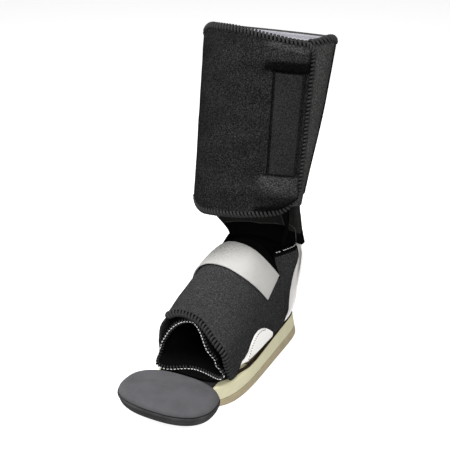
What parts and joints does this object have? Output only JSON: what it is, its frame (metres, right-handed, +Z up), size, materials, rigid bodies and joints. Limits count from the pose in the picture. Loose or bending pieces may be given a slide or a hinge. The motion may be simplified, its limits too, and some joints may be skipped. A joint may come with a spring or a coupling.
{
  "type": "ankle foot orthosis",
  "caption": "Padded ankle foot orthosis boot: bent plastic shell, calf cuff with opening flap, foot wrap with instep strap, walking sole and sliding toe guard pad.",
  "frame": {"origin": "on the ground face of the outsole, in the middle of the sole's width under the ankle's front", "axes": "+Z up along the leg, -Y towards the toes, +X towards the wearer's left"},
  "size_m": [0.156, 0.3093, 0.3858],
  "materials": {
    "black_loop_fabric": "brushed loop pile over foam",
    "black_lining": "plain woven lining",
    "grey_lining": "brushed lining",
    "strap_webbing": "pale loop webbing",
    "black_hook_tape": "hook tape",
    "white_plastic": "satin thermoformed sheet",
    "cream_midsole": "matt foamed rubber",
    "tan_outsole": "matt moulded rubber",
    "brown_loop_pad": "hook and loop sheet",
    "grey_upholstery": "smooth padded cover",
    "dark_upholstery": "smooth padded cover",
    "grey_plate": "satin sheet",
    "zinc_steel": "bright zinc plated"
  },
  "bodies": {
    "boot": {"outsole": "tan_outsole", "midsole": "cream_midsole", "sole_hook_pad": "brown_loop_pad", "sole_loop_pad": "brown_loop_pad", "plastic_shell": "white_plastic", "foot_liner": "black_lining", "foot_side_left": "black_loop_fabric", "foot_side_right": "black_loop_fabric", "heel_collar": "black_loop_fabric", "ankle_pad": "black_lining", "upright_sleeve": "black_lining", "cuff_lining": "grey_lining", "cuff_inner_flap": "black_loop_fabric", "cuff_back_panel": "black_loop_fabric", "upright_hook_pad_low": "black_hook_tape", "upright_hook_pad_high": "black_hook_tape", "toe_screw_left": "zinc_steel", "toe_screw_right": "zinc_steel", "toe_nut_left": "zinc_steel", "toe_nut_right": "zinc_steel"},
    "cuff_flap": {"cuff_flap_panel": "black_loop_fabric", "cuff_closure_strip": "black_loop_fabric", "cuff_flap_hook_tape": "black_hook_tape"},
    "foot_flap": {"foot_flap_panel": "black_loop_fabric", "foot_flap_hook_tape": "black_hook_tape", "strap_anchor_pad": "black_hook_tape"},
    "strap": {"instep_strap": "strap_webbing", "strap_hook_pad": "black_hook_tape"},
    "toe_guard": {"toe_plate": "grey_plate", "toe_pad_top": "grey_upholstery", "toe_pad_under": "dark_upholstery"}
  },
  "joints": [
    {"name": "cuff_flap_hinge", "type": "hinge", "parent": "boot", "child": "cuff_flap", "pos_m": [-0.0722, 0.06692, 0.1892], "axis": [0.03, -0.201, -0.9791], "range_deg": [0, 115]},
    {"name": "foot_flap_hinge", "type": "hinge", "parent": "boot", "child": "foot_flap", "pos_m": [0.0465, -0.0015, 0.064], "axis": [0, 1, 0], "range_deg": [0, 100]},
    {"name": "strap_hinge", "type": "hinge", "parent": "foot_flap", "child": "strap", "pos_m": [0.04391, 0.0355, 0.09534], "axis": [-0.0853, 0.9349, 0.3444], "range_deg": [0, 60]},
    {"name": "toe_plate_slide", "type": "slide", "parent": "boot", "child": "toe_guard", "axis": [0, -1, 0], "range_m": [0, 0.035]}
  ]
}
